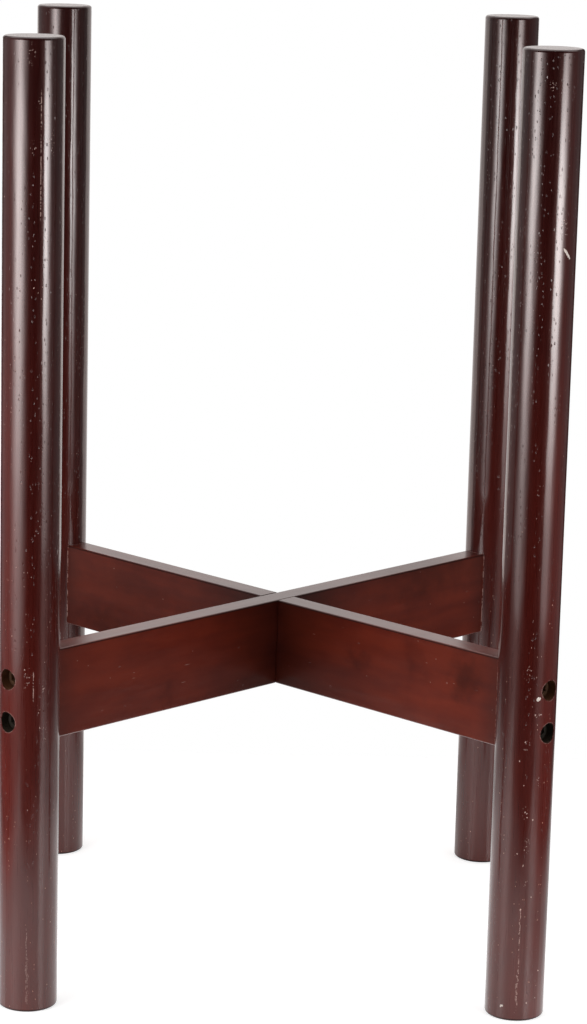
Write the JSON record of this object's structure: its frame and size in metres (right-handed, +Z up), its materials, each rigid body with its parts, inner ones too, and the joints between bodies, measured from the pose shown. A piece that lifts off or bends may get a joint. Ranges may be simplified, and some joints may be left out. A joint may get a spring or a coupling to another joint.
{
  "type": "plant stand",
  "caption": "Wooden plant stand: round upright legs bolted to the ends of crossed, half-lapped rails, which carry a round pot between the legs.",
  "frame": {"origin": "on the floor, midway between the four legs", "axes": "+Z up along the legs, +Y towards the back, +X to the right seen from the front; the rails run along the diagonals"},
  "size_m": [0.279, 0.279, 0.49],
  "materials": {
    "leg_wood": "dark mahogany stain under satin lacquer",
    "rail_wood": "dark mahogany stain under satin lacquer",
    "bolt_steel": "black oxide",
    "insert_brass": "plain turned"
  },
  "bodies": {
    "root": {"leg_front_left": "leg_wood", "leg_front_right": "leg_wood", "leg_back_left": "leg_wood", "leg_back_right": "leg_wood", "rail_over": "rail_wood", "rail_under": "rail_wood", "bolt_front_left_upper": "bolt_steel", "bolt_front_left_lower": "bolt_steel", "bolt_front_right_upper": "bolt_steel", "bolt_front_right_lower": "bolt_steel", "bolt_back_left_upper": "bolt_steel", "bolt_back_left_lower": "bolt_steel", "bolt_back_right_upper": "bolt_steel", "bolt_back_right_lower": "bolt_steel", "insert_front_left_upper": "insert_brass", "insert_front_left_lower": "insert_brass", "insert_front_right_upper": "insert_brass", "insert_front_right_lower": "insert_brass", "insert_back_left_upper": "insert_brass", "insert_back_left_lower": "insert_brass", "insert_back_right_upper": "insert_brass", "insert_back_right_lower": "insert_brass"}
  },
  "joints": []
}
